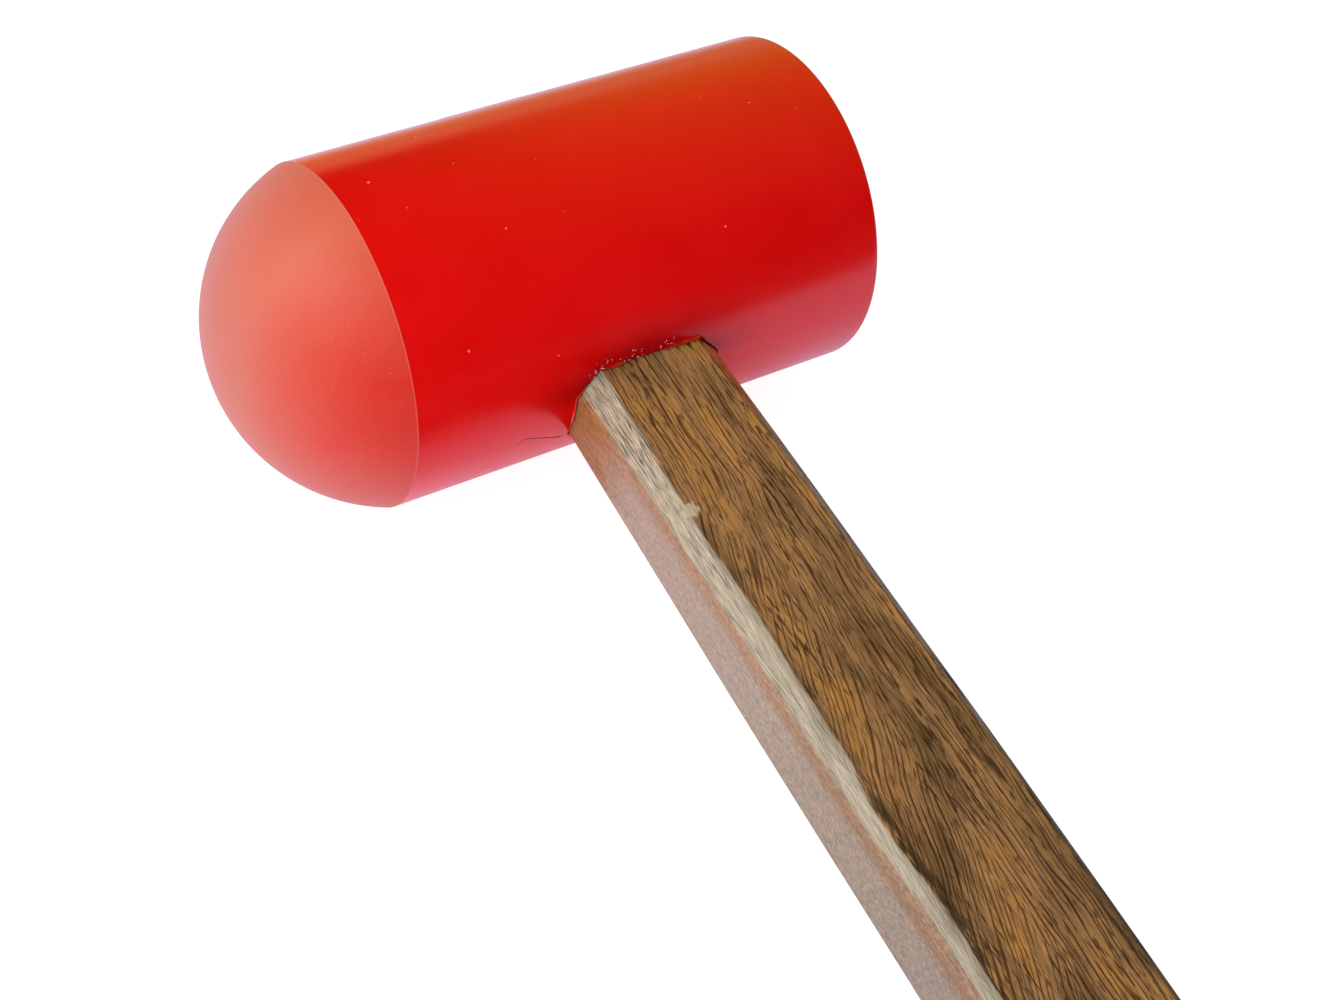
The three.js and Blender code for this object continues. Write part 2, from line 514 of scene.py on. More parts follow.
def build_burrs(material):
    """Slivers left round the eye's mouth when it was cut, most of them above the handle."""
    chance = random.Random(11)
    outline = eye_outline(NECK_Y, 0.35 * MM)
    slivers = []
    for number in range(BURRS):
        x = chance.uniform(*BURR_SPAN) * MM
        on_chamfer = THICKNESS / 2 + NECK_WIDTH / 2 - NECK_CHAMFER + x
        foot = Vector((x, 0, min(THICKNESS / 2, on_chamfer)))
        if number % 10 == 0:
            point = chance.choice(outline)
            foot = Vector((point.x, 0, point.y))
        away = Vector((foot.x * 0.1, 0, foot.z)).normalized()
        foot += away * (0.3 + 1.8 * chance.random() ** 1.5) * MM
        surface = math.sqrt(RADIUS**2 - foot.z**2)
        root = Vector((foot.x, EYE_Y - surface + 0.1 * MM, foot.z))
        outwards = Vector((0, -surface, foot.z)).normalized()
        lean = Vector((chance.uniform(-0.9, 0.9), 0, chance.uniform(-0.2, 0.9)))
        direction = (outwards * chance.uniform(0.3, 0.8) + away * 0.6 + lean).normalized()
        length = chance.uniform(*BURR_LENGTH) * MM
        thickness = chance.uniform(*BURR_THICKNESS) * MM
        slivers.append(shred_rings(root, direction, length, thickness, chance))
    burrs = lofted("eye_burrs", *slivers)
    shade(burrs, material, sharp_angle=80)
    place(burrs, "head_plastic")


# ---------------------------------------------------------------- materials

def srgb(red, green, blue):
    """A colour as shown on a screen, 0 to 255, in the renderer's linear terms."""
    def linear(value):
        share = value / 255
        return share / 12.92 if share <= 0.04045 else ((share + 0.055) / 1.055) ** 2.4
    return (linear(red), linear(green), linear(blue), 1.0)


# Plastic, in the renderer's linear terms
RED_DEEP = (0.7, 0.0003, 0.0003, 1)
RED_BRIGHT = (0.8, 0.001, 0.0008, 1)
# Painted shade: the red darkens towards the flat end, as the light falls off.
RED_SHADED_TOWARDS_FLAT = (0.84, 1, 1, 1)
NICK_RED = (0.9, 0.4, 0.3, 1)
# Painted shade on the barrel round the handle: its colour, and how far it reaches.
CONTACT_SHADE_RED = (0.09, 0.0, 0.004, 1)
CREVICE = 14 * MM
CUT_RED_DEEP = (0.3, 0.001, 0.006, 1)
CUT_RED_BRIGHT = (0.5, 0.006, 0.016, 1)
CUT_SHADOW = (0.02, 0.0, 0.001, 1)
BARE_DOME = (0.64, 0.012, 0.002, 1)
# The dome's sanded whitening with painted sheen, low and high; painted light makes the high one
# brighter red.
BLOOM_AND_SHEEN_LOW = (0.54, 0.12, 0.072, 1)
BLOOM_AND_SHEEN_HIGH = (0.66, 0.12, 0.06, 1)
DUST_SPECK = (0.62, 0.15, 0.1, 1)
DOME_BORDER = (0.7, 0.3, 0.22, 1)
# The side of the dome where its painted sheen thins out.
LEAST_SHEEN_SIDE = Vector((-0.3, -0.88, 0.36))

# Walnut
WALNUT_DARK = srgb(106, 77, 44)
WALNUT_MID = srgb(152, 110, 66)
WALNUT_ORANGE = srgb(176, 122, 56)
WALNUT_PORE = srgb(54, 20, 4)
WALNUT_FLECK = srgb(38, 26, 16)
WALNUT_REFLECTED = (0.004, 0.002, 0.002, 1)
# Painted shade on the +X faces, and painted red bounce light from the head on them near it.
RIGHT_PAINTED_SHADE = (0.66, 0.86, 0.84, 1)
RIGHT_PAINTED_RED_BOUNCE = (1.5, 0.85, 0.95, 1)
LINES_PER_MM = 1.05
RING_HEART_X = 18.0
RING_HEART_Z = -46.0
# The -X side: walnut under a painted sheen.
SHEEN_TAN_LIGHT = srgb(186, 159, 141)
SHEEN_TAN_DARK = srgb(164, 136, 118)
TAN_ORANGE = srgb(166, 112, 66)
TAN_FADE_BUTT = (0.74, 0.81, 0.9, 1)
TAN_FADE_MIDDLE = (0.86, 0.94, 1.0, 1)
TAN_FADE_HEAD = (0.82, 0.82, 0.82, 1)
SAPWOOD = srgb(178, 162, 138)
SAPWOOD_FAR = srgb(162, 150, 130)
SAPWOOD_LINE = srgb(74, 62, 50)

# The pale chip, in X and Y, in millimetres
CHIP_PLACE = (-10.4, 210.0)
CHIP_SIZE = (1.5, 1.7)
CHIP_COLOUR = srgb(192, 174, 142)

# Where the wood's looks change along the handle: pairs of distances from the butt, in millimetres
BUTT_TO_HEAD = (120.0, 215.0)
LINES_THIN_OUT = (130.0, 220.0)
GRAIN_LEANS = (235.0, 195.0)
STREAKS_PALER = (188.0, 208.0)
SIDE_TURNS_ORANGE = (226.0, 240.0)
SAPWOOD_WIDENS = (205.0, 180.0)
SAPWOOD_NARROWS = (148.0, 160.0)
SAPWOOD_WIDE_AGAIN = (142.0, 133.0)
SAPWOOD_LOWER_EDGE = (130.0, 145.0)
SAPWOOD_LINES = (150.0, 235.0)
DARK_STREAKS = (170.0, 145.0)
RED_BOUNCE_SETS_IN = (222.0, 236.0)

# Shared
GREY_DARK = (0.4, 0.4, 0.4, 1)
GREY_LIGHT = (0.6, 0.6, 0.6, 1)
SHADOW_GREY = (0.3, 0.3, 0.3, 1)
SHADOW_PALE = (0.7, 0.7, 0.7, 1)
WHITE = (1, 1, 1, 1)


class Graph:
    """A node tree, with a short call for each kind of node it needs."""

    def __init__(self, owner):
        self.owner = owner
        owner.use_nodes = True
        self.tree = owner.node_tree
        self.tree.nodes.clear()

    def node(self, kind, inputs, **settings):
        made = self.tree.nodes.new(kind)
        for name, value in settings.items():
            setattr(made, name, value)
        for socket, value in inputs.items():
            if isinstance(value, bpy.types.NodeSocket):
                self.tree.links.new(value, made.inputs[socket])
            else:
                made.inputs[socket].default_value = value
        return made

    def math(self, operation, *values):
        return self.node("ShaderNodeMath", dict(enumerate(values)), operation=operation).outputs[0]

    def smooth(self, value, low, high):
        """0 below low, 1 above high, with a smooth step between."""
        inputs = {"Value": value, "From Min": low, "From Max": high}
        node = self.node("ShaderNodeMapRange", inputs, interpolation_type="SMOOTHSTEP")
        return node.outputs["Result"]

    def fit(self, value, low, high, start, end):
        """Maps low..high to start..end, and holds it there."""
        inputs = {"Value": value, "From Min": low, "From Max": high, "To Min": start, "To Max": end}
        return self.node("ShaderNodeMapRange", inputs).outputs["Result"]

    def blend(self, share, first, second):
        """Goes from one number to another."""
        inputs = {"Factor": share, 2: first, 3: second}
        return self.node("ShaderNodeMix", inputs, data_type="FLOAT").outputs[0]

    def mix(self, share, first, second, how="MIX"):
        inputs = {0: share, 6: first, 7: second}
        node = self.node("ShaderNodeMix", inputs, data_type="RGBA", blend_type=how)
        return node.outputs[2]

    def ramp(self, value, *stops):
        node = self.node("ShaderNodeValToRGB", {"Fac": value})
        elements = node.color_ramp.elements
        while len(elements) < len(stops):
            elements.new(1.0)
        for element, (position, colour) in zip(elements, stops):
            element.position = position
            element.color = colour
        return node.outputs["Color"]

    def place(self):
        """The surface point, in millimetres, in the mallet's own frame."""
        point = self.node("ShaderNodeTexCoord", {}).outputs["Object"]
        inputs = {0: point, "Scale": 1 / MM}
        return self.node("ShaderNodeVectorMath", inputs, operation="SCALE").outputs[0]

    def split(self, vector):
        node = self.node("ShaderNodeSeparateXYZ", {0: vector})
        return node.outputs[0], node.outputs[1], node.outputs[2]

    def join(self, x, y, z):
        return self.node("ShaderNodeCombineXYZ", {0: x, 1: y, 2: z}).outputs[0]

    def stretched(self, point, scales):
        """A point made of three coordinates, each multiplied by its own scale."""
        return self.join(*[self.math("MULTIPLY", *pair) for pair in zip(point, scales)])

    def noise(self, vector, scale=1.0, detail=2.0, roughness=0.5, distortion=0.0):
        inputs = {"Vector": vector, "Scale": scale, "Detail": detail}
        inputs.update({"Roughness": roughness, "Distortion": distortion})
        return self.node("ShaderNodeTexNoise", inputs).outputs["Fac"]

    def bump(self, height, depth, normal=None):
        inputs = {"Height": height, "Distance": depth, "Strength": 1.0}
        if normal:
            inputs["Normal"] = normal
        return self.node("ShaderNodeBump", inputs).outputs["Normal"]

    def surface(self, **inputs):
        """A Principled surface. Its inputs are given with _ for the spaces in their names."""
        named = {key.replace("_", " "): value for key, value in inputs.items()}
        shader = self.node("ShaderNodeBsdfPrincipled", named)
        self.node("ShaderNodeOutputMaterial", {"Surface": shader.outputs[0]})
        return self.owner


def cast_plastic():
    """The bar's own skin: saturated red, satin, with a fine grain and a few pale nicks. Painted
    shade darkens the red towards the flat end and on the barrel round the handle.
    """
    g = Graph(bpy.data.materials.new("cast_plastic"))
    place = g.place()
    mottle = g.noise(place, scale=0.08, detail=3)
    grain = g.noise(place, scale=1.7, detail=3, roughness=0.75)
    nick = g.smooth(g.noise(place, scale=0.9, detail=0), 0.885, 0.91)
    x, _, z = g.split(place)
    lines = g.noise(g.join(g.math("MULTIPLY", x, 3.0), 0.0, 0.0), detail=3)
    colour = g.mix(mottle, RED_DEEP, RED_BRIGHT)
    # Painted shade: the red darkens along the barrel towards the flat end.
    along_barrel = g.fit(x, DOME_EDGE_X / MM, FLAT_X / MM, 0.0, 1.0)
    colour = g.mix(along_barrel, colour, g.mix(1.0, colour, RED_SHADED_TOWARDS_FLAT, "MULTIPLY"))
    colour = g.mix(0.7, colour, g.ramp(grain, (0.3, GREY_DARK), (0.7, GREY_LIGHT)), "OVERLAY")
    colour = g.mix(g.math("MULTIPLY", nick, 0.6), colour, NICK_RED)
    # Painted shade: the barrel darkens above the handle, where the handle hides the light.
    crevice = g.node("ShaderNodeAmbientOcclusion", {"Distance": CREVICE}, samples=4).outputs["AO"]
    contact_shade = g.math("MULTIPLY", g.smooth(crevice, 0.97, 0.5), g.smooth(z, 2.0, 8.0))
    colour = g.mix(contact_shade, colour, CONTACT_SHADE_RED)
    height = g.math("ADD", g.math("MULTIPLY", grain, 0.5), g.math("MULTIPLY", lines, 0.3))
    return g.surface(
        Base_Color=colour,
        Roughness=g.fit(mottle, 0.3, 0.7, 0.15, 0.2),
        Normal=g.bump(height, 0.03 * MM),
        IOR=1.5,
    )


def cut_plastic():
    """The raw inside of the eye and of the crack, darker where it is deep."""
    g = Graph(bpy.data.materials.new("cut_plastic"))
    rough = g.noise(g.place(), scale=2.0, detail=3)
    colour = g.mix(rough, CUT_RED_DEEP, CUT_RED_BRIGHT)
    inputs = {"Distance": 2 * MM}
    open_air = g.node("ShaderNodeAmbientOcclusion", inputs, samples=4).outputs["AO"]
    colour = g.mix(g.smooth(open_air, 0.6, 0.2), colour, CUT_SHADOW)
    return g.surface(Base_Color=colour, Roughness=0.6, Normal=g.bump(rough, 0.1 * MM))


def sanded_plastic():
    """The turned and sanded ends: pale and matte from sanding, under a painted sheen that thins out
    low on the dome's border and on its front. Higher up, painted light makes them brighter red.
    """
    g = Graph(bpy.data.materials.new("sanded_plastic"))
    place = g.place()
    x, y, z = g.split(place)
    mottle = g.noise(place, scale=0.12, detail=3)
    speck = g.noise(place, scale=2.6, detail=2, roughness=0.7)
    squared = g.math("POWER", g.math("SUBTRACT", y, EYE_Y / MM), 2.0)
    radius = g.math("SQRT", g.math("ADD", squared, g.math("POWER", z, 2.0)))
    turning = g.noise(g.join(g.math("MULTIPLY", radius, 1.6), 0.0, 0.0), detail=3, roughness=0.7)
    facing = g.node("ShaderNodeNewGeometry", {}).outputs["Normal"]
    inputs = {0: facing, 1: LEAST_SHEEN_SIDE}
    towards = g.node("ShaderNodeVectorMath", inputs, operation="DOT_PRODUCT").outputs["Value"]
    # Painted sheen: it thins where the dome faces the front, and low down.
    thick = g.math("MULTIPLY", g.fit(towards, 0.5, 1.0, 1.0, 0.0), g.fit(z, -30.0, 0.0, 0.35, 1.0))
    bloom_and_sheen = g.math("MULTIPLY_ADD", g.math("SUBTRACT", mottle, 0.5), 0.3, thick)
    past = g.math("GREATER_THAN", x, 0.0)
    marks = g.fit(past, 0.0, 1.0, 0.2, 1.1)
    bloom_and_sheen = g.math("MULTIPLY_ADD", g.math("SUBTRACT", turning, 0.5), marks, bloom_and_sheen)
    bloom_and_sheen = g.math("SUBTRACT", bloom_and_sheen, g.math("MULTIPLY", past, 0.3))
    # Painted light: higher up the whitening is brighter red.
    upwards = g.fit(z, 12.0, 31.0, 0.0, 1.0)
    colour = g.mix(bloom_and_sheen, BARE_DOME, g.mix(upwards, BLOOM_AND_SHEEN_LOW, BLOOM_AND_SHEEN_HIGH))
    colour = g.mix(g.smooth(speck, 0.6, 0.8), colour, DUST_SPECK)
    border = g.smooth(x, DOME_EDGE_X / MM - 0.3, DOME_EDGE_X / MM - 0.1)
    border = g.math("SUBTRACT", g.math("MULTIPLY", border, 0.2), past)
    colour = g.mix(border, colour, DOME_BORDER)
    return g.surface(
        Base_Color=colour,
        Roughness=0.46,
        Normal=g.bump(g.math("ADD", speck, g.math("MULTIPLY", turning, 1.5)), 0.03 * MM),
        IOR=1.5,
        Sheen_Weight=0.05,
        Sheen_Roughness=0.5,
    )


def torn_plastic():
    """Thin burrs of the head's plastic, whitened by tearing."""
    g = Graph(bpy.data.materials.new("torn_plastic"))
    pale = g.noise(g.place(), scale=0.35, detail=1)
    colour = g.mix(g.smooth(pale, 0.36, 0.54), srgb(205, 40, 50), srgb(238, 196, 192))
    return g.surface(Base_Color=colour, Roughness=0.5)


def leaning_dashes(g, x, y, z, lean, seed):
    """Fine dark lines along the handle, 0 to 1. They lean towards -X as they near the butt."""
    across = g.math("SUBTRACT", x, g.math("MULTIPLY", y, lean))
    depth = g.math("MULTIPLY", z, LINES_PER_MM)
    broken = g.noise(g.join(
        g.math("MULTIPLY_ADD", across, 1.5 * LINES_PER_MM, seed),
        g.math("MULTIPLY", y, 0.09),
        g.math("MULTIPLY", depth, 1.5),
    ), detail=2, roughness=0.6)
    drift = g.noise(g.join(
        g.math("MULTIPLY_ADD", across, 0.4, seed),
        g.math("MULTIPLY", y, 0.028),
        depth,
    ), detail=1)
    broken = g.math("ADD", broken, g.fit(y, *LINES_THIN_OUT, 0.02, -0.03))
    phase = g.math("MULTIPLY_ADD", across, LINES_PER_MM, depth)
    phase = g.math("ADD", phase, g.math("MULTIPLY", drift, 3.0))
    wave = g.math("SINE", g.math("MULTIPLY", phase, 2 * math.pi))
    lines = g.math("MULTIPLY", g.smooth(wave, 0.35, 0.85), g.smooth(broken, 0.4, 0.5))
    short = g.noise(g.join(
        g.math("MULTIPLY_ADD", across, 4.2, seed),
        g.math("MULTIPLY", y, 0.3),
        g.math("MULTIPLY", z, 4.2),
    ), detail=1)
    return g.math("MAXIMUM", lines, g.math("MULTIPLY", g.smooth(short, 0.58, 0.68), 0.85))


def grain_lines(g, place):
    """The pore lines of the whole handle, which lean more the nearer they are to the butt."""
    x, y, z = g.split(place)
    curl = g.noise(g.stretched((x, y, 3.0), (0.05, 0.06, 1.0)), detail=1)
    x = g.math("MULTIPLY_ADD", g.math("SUBTRACT", curl, 0.5), 2.0, x)
    drift = g.noise(g.stretched((x, y, 9.0), (0.06, 0.02, 1.0)), detail=1)
    shifted = g.math("MULTIPLY_ADD", g.math("SUBTRACT", drift, 0.5), 30.0, x)
    leftwards = g.smooth(shifted, 6.0, -6.0)
    lean = g.math("MULTIPLY", leftwards, g.smooth(y, *GRAIN_LEANS))
    straight = leaning_dashes(g, x, y, z, 0.0, 0.0)
    slight = leaning_dashes(g, x, y, z, 0.16, 5.0)
    strong = leaning_dashes(g, x, y, z, 0.32, 9.0)
    lines = g.blend(g.smooth(lean, 0.3, 0.35), straight, slight)
    return g.blend(g.smooth(lean, 0.7, 0.75), lines, strong)


def walnut_heartwood(g, place, lines):
    """Brown wood with orange and dark streaks, small black-brown flecks and the pore lines."""
    x, y, z = g.split(place)
    streaks = g.noise(g.stretched((x, y, z), (0.4, 0.028, 1.0)), detail=4)
    patches = g.noise(g.stretched((x, y, 5.0), (0.09, 0.035, 1.0)), detail=2)
    flecks = g.noise(g.stretched((x, y, z), (2.4, 0.26, 1.0)), detail=1)
    cluster = g.noise(g.stretched((x, y, 2.0), (0.14, 0.03, 1.0)), detail=0)
    flecks = g.math("MULTIPLY_ADD", g.math("SUBTRACT", cluster, 0.5), 0.34, flecks)
    tone = g.math("MULTIPLY_ADD", g.math("SUBTRACT", streaks, 0.5), 0.6, patches)
    tone = g.math("ADD", tone, g.fit(y, *STREAKS_PALER, -0.05, 0.07))
    colour = g.ramp(tone, (0.3, WALNUT_DARK), (0.5, WALNUT_MID), (0.72, WALNUT_ORANGE))
    colour = g.mix(g.math("MULTIPLY", g.smooth(flecks, 0.64, 0.72), 0.8), colour, WALNUT_FLECK)
    depth = g.fit(patches, 0.35, 0.6, 0.95, 0.75)
    return g.mix(g.math("MULTIPLY", lines, depth), colour, WALNUT_PORE)


def sapwood_share(g, place):
    """1 on the pale strip along one chamfer, which wanders over the chamfer's upper edge. The
    second result is 1 on the dark streaks that lie along that edge near the butt."""
    x, y, z = g.split(place)
    off = g.node("ShaderNodeAttribute", {}, attribute_name="off_pale_chamfer").outputs["Fac"]
    up = g.node("ShaderNodeAttribute", {}, attribute_name="up_pale_chamfer").outputs["Fac"]
    fray = g.noise(g.stretched((x, y, z), (2.4, 0.13, 2.4)), scale=0.9, detail=3)
    fray = g.math("SUBTRACT", fray, 0.5)
    wide = g.math("MULTIPLY", g.smooth(y, *SAPWOOD_WIDENS), g.smooth(y, *SAPWOOD_NARROWS))
    wide = g.math("MAXIMUM", wide, g.smooth(y, *SAPWOOD_WIDE_AGAIN))
    lap = g.math("MULTIPLY_ADD", fray, 1.4, g.math("MULTIPLY_ADD", wide, 0.9, 0.3))
    start = g.math("MULTIPLY_ADD", fray, 0.25, g.fit(y, *SAPWOOD_LOWER_EDGE, 0.5, 0.2))
    above = g.smooth(g.math("SUBTRACT", up, start), -0.06, 0.06)
    beyond = g.math("SUBTRACT", off, lap)
    streak = g.noise(g.stretched((x, y, z), (1.5, 0.2, 1.5)), detail=1)
    beside = g.math("MULTIPLY", g.smooth(beyond, 2.8, 0.9), g.smooth(y, *DARK_STREAKS))
    beside = g.math("MULTIPLY", beside, g.smooth(up, 0.6, 0.9))
    beside = g.math("MULTIPLY", beside, g.smooth(streak, 0.43, 0.53))
    return g.math("MULTIPLY", g.smooth(beyond, 0.2, -0.2), above), beside


def chip_share(g, x, y, z):
    """1 on a small pale chip where the sapwood laps over the top face."""
    across = g.math("DIVIDE", g.math("SUBTRACT", x, CHIP_PLACE[0]), CHIP_SIZE[0])
    along = g.math("DIVIDE", g.math("SUBTRACT", y, CHIP_PLACE[1]), CHIP_SIZE[1])
    away = g.math("SQRT", g.math("ADD", g.math("POWER", across, 2.0), g.math("POWER", along, 2.0)))
    ragged = g.noise(g.join(x, g.math("MULTIPLY", y, 0.5), 0.0), scale=1.1, detail=2)
    away = g.math("MULTIPLY_ADD", g.math("SUBTRACT", ragged, 0.5), 1.6, away)
    on_top = g.smooth(z, 3.0, 6.0)
    return g.math("MULTIPLY", g.smooth(away, 1.15, 0.7), g.math("MULTIPLY", on_top, 0.9))


def side_under_painted_sheen(g, place, fibre):
    """The paler -X side of the handle: walnut under a painted sheen that makes it pinkish tan,
    orange near the sapwood and near the head.
    """
    x, y, z = g.split(place)
    blotch = g.noise(g.stretched((x, y, z), (1.0, 0.06, 0.5)), detail=2)
    upper = g.smooth(g.math("MULTIPLY_ADD", blotch, 3.0, z), 4.0, 7.5)
    near_head = g.smooth(g.math("MULTIPLY_ADD", blotch, 14.0, y), *SIDE_TURNS_ORANGE)
    orange = g.math("MAXIMUM", g.math("MULTIPLY", upper, 0.6), near_head)
    colour = g.mix(g.smooth(fibre, 0.35, 0.65), SHEEN_TAN_LIGHT, SHEEN_TAN_DARK)
    colour = g.mix(orange, colour, TAN_ORANGE)
    pits = g.noise(g.join(x, g.math("MULTIPLY", y, 0.6), z), scale=1.7, detail=3, roughness=0.7)
    colour = g.mix(1.0, colour, g.ramp(pits, (0.36, GREY_DARK), (0.64, GREY_LIGHT)), "OVERLAY")
    along = g.fit(y, *BUTT_TO_HEAD, 0.0, 1.0)
    fade = g.ramp(along, (0.0, TAN_FADE_BUTT), (0.6, TAN_FADE_MIDDLE), (1.0, TAN_FADE_HEAD))
    return g.mix(1.0, colour, fade, "MULTIPLY")


def sapwood(g, x, y, z):
    """Cream wood with short, thin, dark lines, most of them near the head."""
    vein = g.noise(g.stretched((x, y, z), (9.0, 0.13, 9.0)), detail=1)
    bare = g.noise(g.stretched((x, y, 0.0), (0.3, 0.05, 1.0)), detail=1)
    lined = g.math("MULTIPLY_ADD", bare, 1.6, g.fit(y, *SAPWOOD_LINES, -0.7, 0.1))
    share = g.math("MULTIPLY", g.smooth(vein, 0.52, 0.59), g.fit(lined, 0.0, 1.0, 0.1, 1.0))
    cream = g.mix(g.fit(y, *BUTT_TO_HEAD, 0.0, 1.0), SAPWOOD_FAR, SAPWOOD)
    return g.mix(share, cream, SAPWOOD_LINE)


def end_grain(g, x, y, z):
    """Sawn-across walnut: growth rings round a heart far below, and open pores."""
    across = g.math("POWER", g.math("SUBTRACT", x, RING_HEART_X), 2.0)
    upwards = g.math("POWER", g.math("SUBTRACT", z, RING_HEART_Z), 2.0)
    from_heart = g.math("SQRT", g.math("ADD", across, upwards))
    waver = g.noise(g.join(x, y, z), scale=0.12, detail=2)
    ring = g.math("MULTIPLY_ADD", waver, 9.0, g.math("MULTIPLY", from_heart, 2.1))
    ring = g.math("SINE", ring)
    pore = g.noise(g.join(x, y, z), scale=2.6, detail=1)
    colour = g.mix(g.fit(ring, -1.0, 1.0, 0.0, 1.0), WALNUT_MID, WALNUT_DARK)
    return g.mix(g.math("MULTIPLY", g.smooth(pore, 0.56, 0.64), 0.8), colour, WALNUT_PORE)


def walnut():
    """Oiled walnut with wavy, leaning pores, and sapwood along the upper chamfer."""
    g = Graph(bpy.data.materials.new("walnut"))
    place = g.place()
    x, y, z = g.split(place)
    lines = grain_lines(g, place)
    fibre = g.noise(g.stretched((x, y, z), (5.0, 0.25, 5.0)), detail=2)
    facing = g.node("ShaderNodeNewGeometry", {}).outputs["Normal"]
    facing_x, facing_y, _ = g.split(facing)
    colour = walnut_heartwood(g, place, lines)
    # Painted sheen: the faces turned towards -X take the paler side's colour.
    colour = g.mix(g.smooth(facing_x, -0.55, -0.65), colour, side_under_painted_sheen(g, place, fibre))
    pale, streaks = sapwood_share(g, place)
    colour = g.mix(g.math("MULTIPLY", streaks, 0.8), colour, WALNUT_FLECK)
    colour = g.mix(pale, colour, sapwood(g, x, y, z))
    chip = g.mix(g.smooth(fibre, 0.45, 0.6), CHIP_COLOUR, SAPWOOD)
    colour = g.mix(chip_share(g, x, y, z), colour, chip)
    shadow = g.ramp(fibre, (0.3, SHADOW_GREY), (0.7, SHADOW_PALE))
    colour = g.mix(0.85, colour, shadow, "OVERLAY")
    colour = g.mix(g.smooth(g.math("ABSOLUTE", facing_y), 0.7, 0.9), colour, end_grain(g, x, y, z))
    # Painted shade on the faces turned towards +X, turning into painted red bounce light near the
    # head.
    turned = g.smooth(facing_x, 0.3, 0.8)
    by_head = g.fit(y, *RED_BOUNCE_SETS_IN, 0.0, 1.0)
    painted_shade_and_bounce = g.mix(by_head, RIGHT_PAINTED_SHADE, RIGHT_PAINTED_RED_BOUNCE)
    colour = g.mix(turned, colour, g.mix(1.0, colour, painted_shade_and_bounce, "MULTIPLY"))
    # In reflections the handle is painted near black, which paints shade on the barrel round it.
    mirrored = g.node("ShaderNodeLightPath", {}).outputs["Is Glossy Ray"]
    colour = g.mix(g.math("MULTIPLY", mirrored, 0.85), colour, WALNUT_REFLECTED)
    height = g.math("SUBTRACT", g.math("MULTIPLY", fibre, 0.4), lines)
    return g.surface(
        Base_Color=colour,
        Specular_IOR_Level=g.math("SUBTRACT", g.fit(facing_x, 0.2, 0.5, 0.5, 0.04), mirrored),
        Roughness=g.fit(lines, 0.0, 1.0, 0.36, 0.6),
        Normal=g.bump(height, 0.03 * MM),
        IOR=1.5,
    )


def pale_hardwood():
    """The wooden wedge: cream, with fine straight fibres along the handle."""
    g = Graph(bpy.data.materials.new("pale_hardwood"))
    grain = g.noise(g.stretched(g.split(g.place()), (4.0, 0.3, 4.0)), detail=3)
    colour = g.mix(grain, srgb(214, 186, 142), srgb(170, 136, 94))
    return g.surface(Base_Color=colour, Roughness=0.65, Normal=g.bump(grain, 0.04 * MM))


def filed_steel():
    """The cross wedge: bare grey steel with file marks."""
    g = Graph(bpy.data.materials.new("filed_steel"))
    scratch = g.noise(g.stretched(g.split(g.place()), (9.0, 1.0, 0.6)), detail=3)
    return g.surface(
        Base_Color=g.mix(scratch, srgb(120, 122, 126), srgb(176, 178, 180)),
        Metallic=1.0,
        Roughness=g.fit(scratch, 0.3, 0.7, 0.28, 0.5),
        Normal=g.bump(scratch, 0.02 * MM),
    )


# ---------------------------------------------------------------- stage

def build_camera():
    camera = linked("camera", bpy.data.cameras.new("camera"))
    camera.data.lens = CAMERA_LENS
    camera.data.clip_start = 10 * MM
    level = math.cos(CAMERA_ELEVATION)
    back = Vector((
        math.sin(CAMERA_AZIMUTH) * level,
        -math.cos(CAMERA_AZIMUTH) * level,
        math.sin(CAMERA_ELEVATION),
    ))
    camera.location = CAMERA_AIM + back * CAMERA_DISTANCE
    camera.rotation_mode = "QUATERNION"
    upright = (-back).to_track_quat("-Z", "Y")
    camera.rotation_quaternion = upright @ Quaternion((0, 0, 1), CAMERA_ROLL)
    bpy.context.scene.camera = camera


def floor_slope():
    """The mallet rests on its barrel and its butt, so the floor falls away towards the head."""
    along, up = EYE_Y - END_BREAK, THICKNESS / 2
    return math.atan2(up, along) - math.asin(RADIUS / math.hypot(along, up))


def floor_material():
    """White to the camera. In reflections, a white sheet that ends in front of the mallet.

    It does not hide the mallet from below.
    """
    g = Graph(bpy.data.materials.new("floor"))
    x, y, _ = g.split(g.node("ShaderNodeNewGeometry", {}).outputs["Position"])
    from_head = g.math("SUBTRACT", y, EYE_Y)
    warm = g.math("MULTIPLY", g.smooth(from_head, 0.07, 0.2), g.smooth(x, -0.12, 0.02))
    sheet = g.mix(warm, COOL_FLOOR, WARM_FLOOR)
    along_edge = g.math("MAXIMUM", x, -0.02)
    ahead = g.math("MULTIPLY_ADD", along_edge, SHEET_SLANT, from_head)
    sheet = g.mix(g.smooth(ahead, SHEET_FRONT, SHEET_FRONT - SHEET_FADE), sheet, ROOM)
    mirrored = g.node("ShaderNodeLightPath", {}).outputs["Is Glossy Ray"]
    paper = g.mix(mirrored, PAPER_GREY, g.mix(1.0, sheet, PAPER_REFLECTED, "MULTIPLY"))
    diffuse = g.node("ShaderNodeBsdfDiffuse", {"Color": paper})
    glow = g.node("ShaderNodeEmission", {
        "Color": g.mix(mirrored, WHITE, sheet),
        "Strength": g.blend(mirrored, 0.92, 0.2),
    })
    both = g.node("ShaderNodeAddShader", {0: diffuse.outputs[0], 1: glow.outputs[0]})
    clear = g.node("ShaderNodeBsdfTransparent", {})
    below = g.node("ShaderNodeNewGeometry", {}).outputs["Backfacing"]
    shown = g.node("ShaderNodeMixShader", {0: below, 1: both.outputs[0], 2: clear.outputs[0]})
    g.node("ShaderNodeOutputMaterial", {"Surface": shown.outputs[0]})
    return g.owner


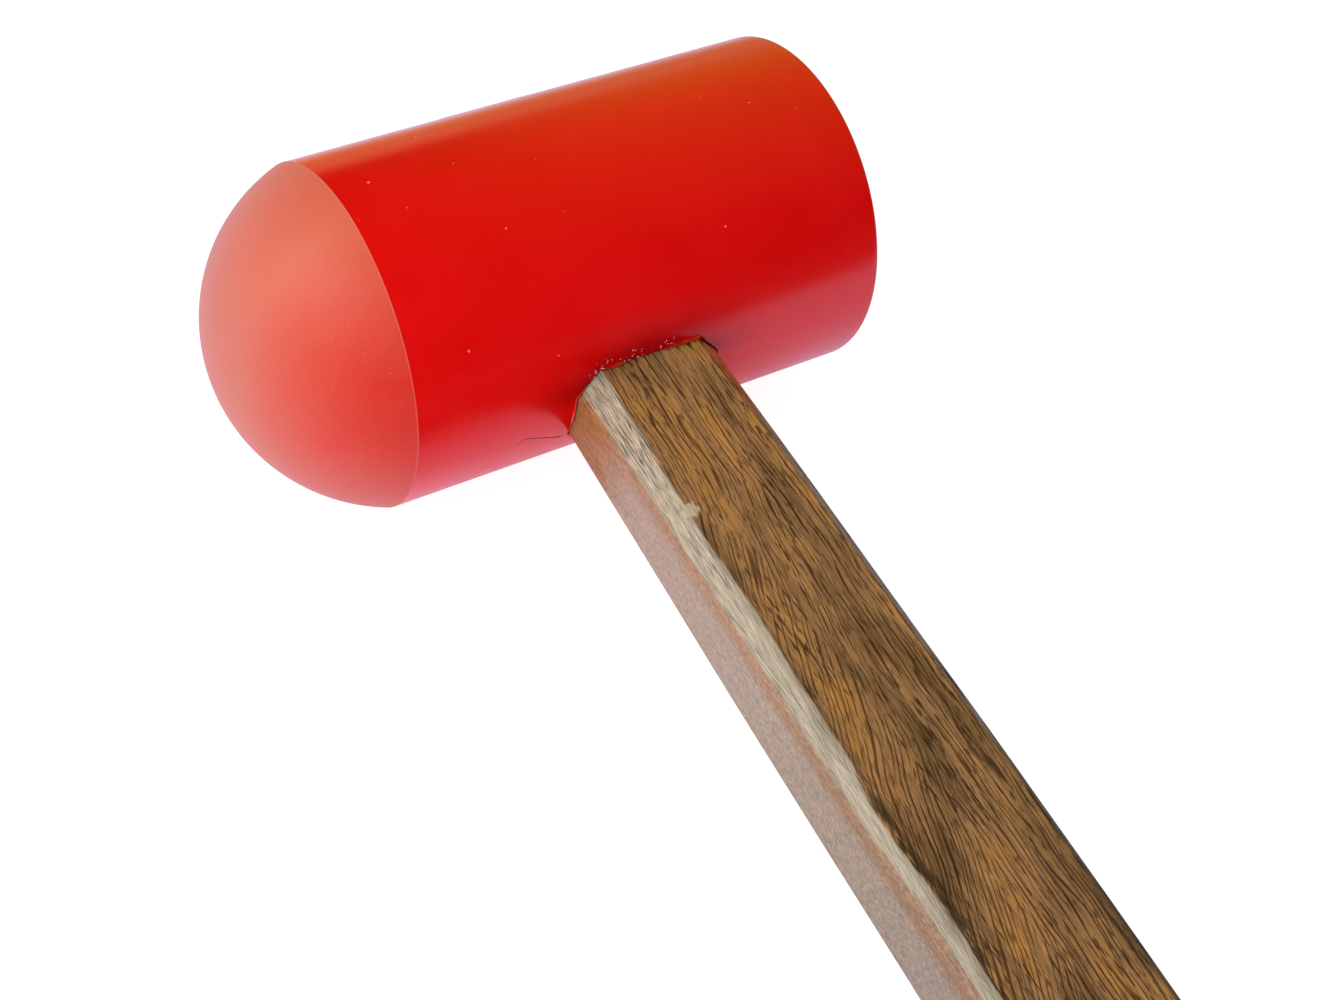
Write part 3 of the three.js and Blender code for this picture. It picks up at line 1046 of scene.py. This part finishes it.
def build_floor():
    slope = floor_slope()
    mesh = bmesh.new()
    bmesh.ops.create_circle(mesh, cap_ends=True, radius=FLOOR_RADIUS, segments=96)
    data = bpy.data.meshes.new("floor")
    mesh.to_mesh(data)
    mesh.free()
    floor = linked("floor", data)
    floor.data.materials.append(floor_material())
    middle_y = EYE_Y / 2
    drop = (middle_y - END_BREAK) * math.tan(slope) - THICKNESS / 2
    floor.location = (0, middle_y, drop - 0.05 * MM)
    floor.rotation_euler = (slope, 0, 0)


def build_light(name, location, aim, size, watts, colour, mirrored):
    light = linked(name, bpy.data.lights.new(name, "AREA"))
    light.data.energy = watts
    light.data.size = size
    light.data.color = colour
    light.location = location
    direction = Vector(aim) - Vector(location)
    light.rotation_mode = "QUATERNION"
    light.rotation_quaternion = direction.to_track_quat("-Z", "Y")
    light.visible_glossy = mirrored


def build_world():
    """White to the camera. In reflections, a dark room, white below and behind the mallet."""
    world = bpy.data.worlds.new("world")
    bpy.context.scene.world = world
    g = Graph(world)
    x, y, z = g.split(g.node("ShaderNodeTexCoord", {}).outputs["Generated"])
    warmth = g.math("MULTIPLY", g.smooth(x, 0.34, 0.52), g.fit(y, -0.6, 0.8, 0.0, 0.9))
    room = g.mix(warmth, ROOM, WARM_ROOM)
    below = g.math("MULTIPLY", g.smooth(z, 0.14, -0.04), g.smooth(y, -0.1, 0.1))
    around = g.mix(below, room, g.mix(g.smooth(x, -0.3, 0.2), COOL_FLOOR, WARM_FLOOR))
    rays = g.node("ShaderNodeLightPath", {})
    seen = g.mix(rays.outputs["Is Glossy Ray"], AMBIENT, around)
    colour = g.mix(rays.outputs["Is Camera Ray"], seen, WHITE)
    back = g.node("ShaderNodeBackground", {"Color": colour})
    g.node("ShaderNodeOutputWorld", {"Surface": back.outputs[0]})


def build_stage():
    build_camera()
    build_floor()
    build_world()
    aim = (0, EYE_Y, 0)
    build_light("left_softbox", (-0.75, 0.6, 0.5), aim, 0.5, 2, (1, 1, 1), True)
    build_light("ceiling", (-0.75, 0.0, 0.78), aim, 0.9, 8.8, (1, 1, 1), False)
    bpy.context.scene.view_settings.view_transform = "Standard"


# ---------------------------------------------------------------- the mallet

build_head(cast_plastic(), sanded_plastic(), cut_plastic())
build_lips(cast_plastic())
build_burrs(torn_plastic())
build_handle_and_wedges(walnut(), pale_hardwood(), filed_steel())
build_stage()
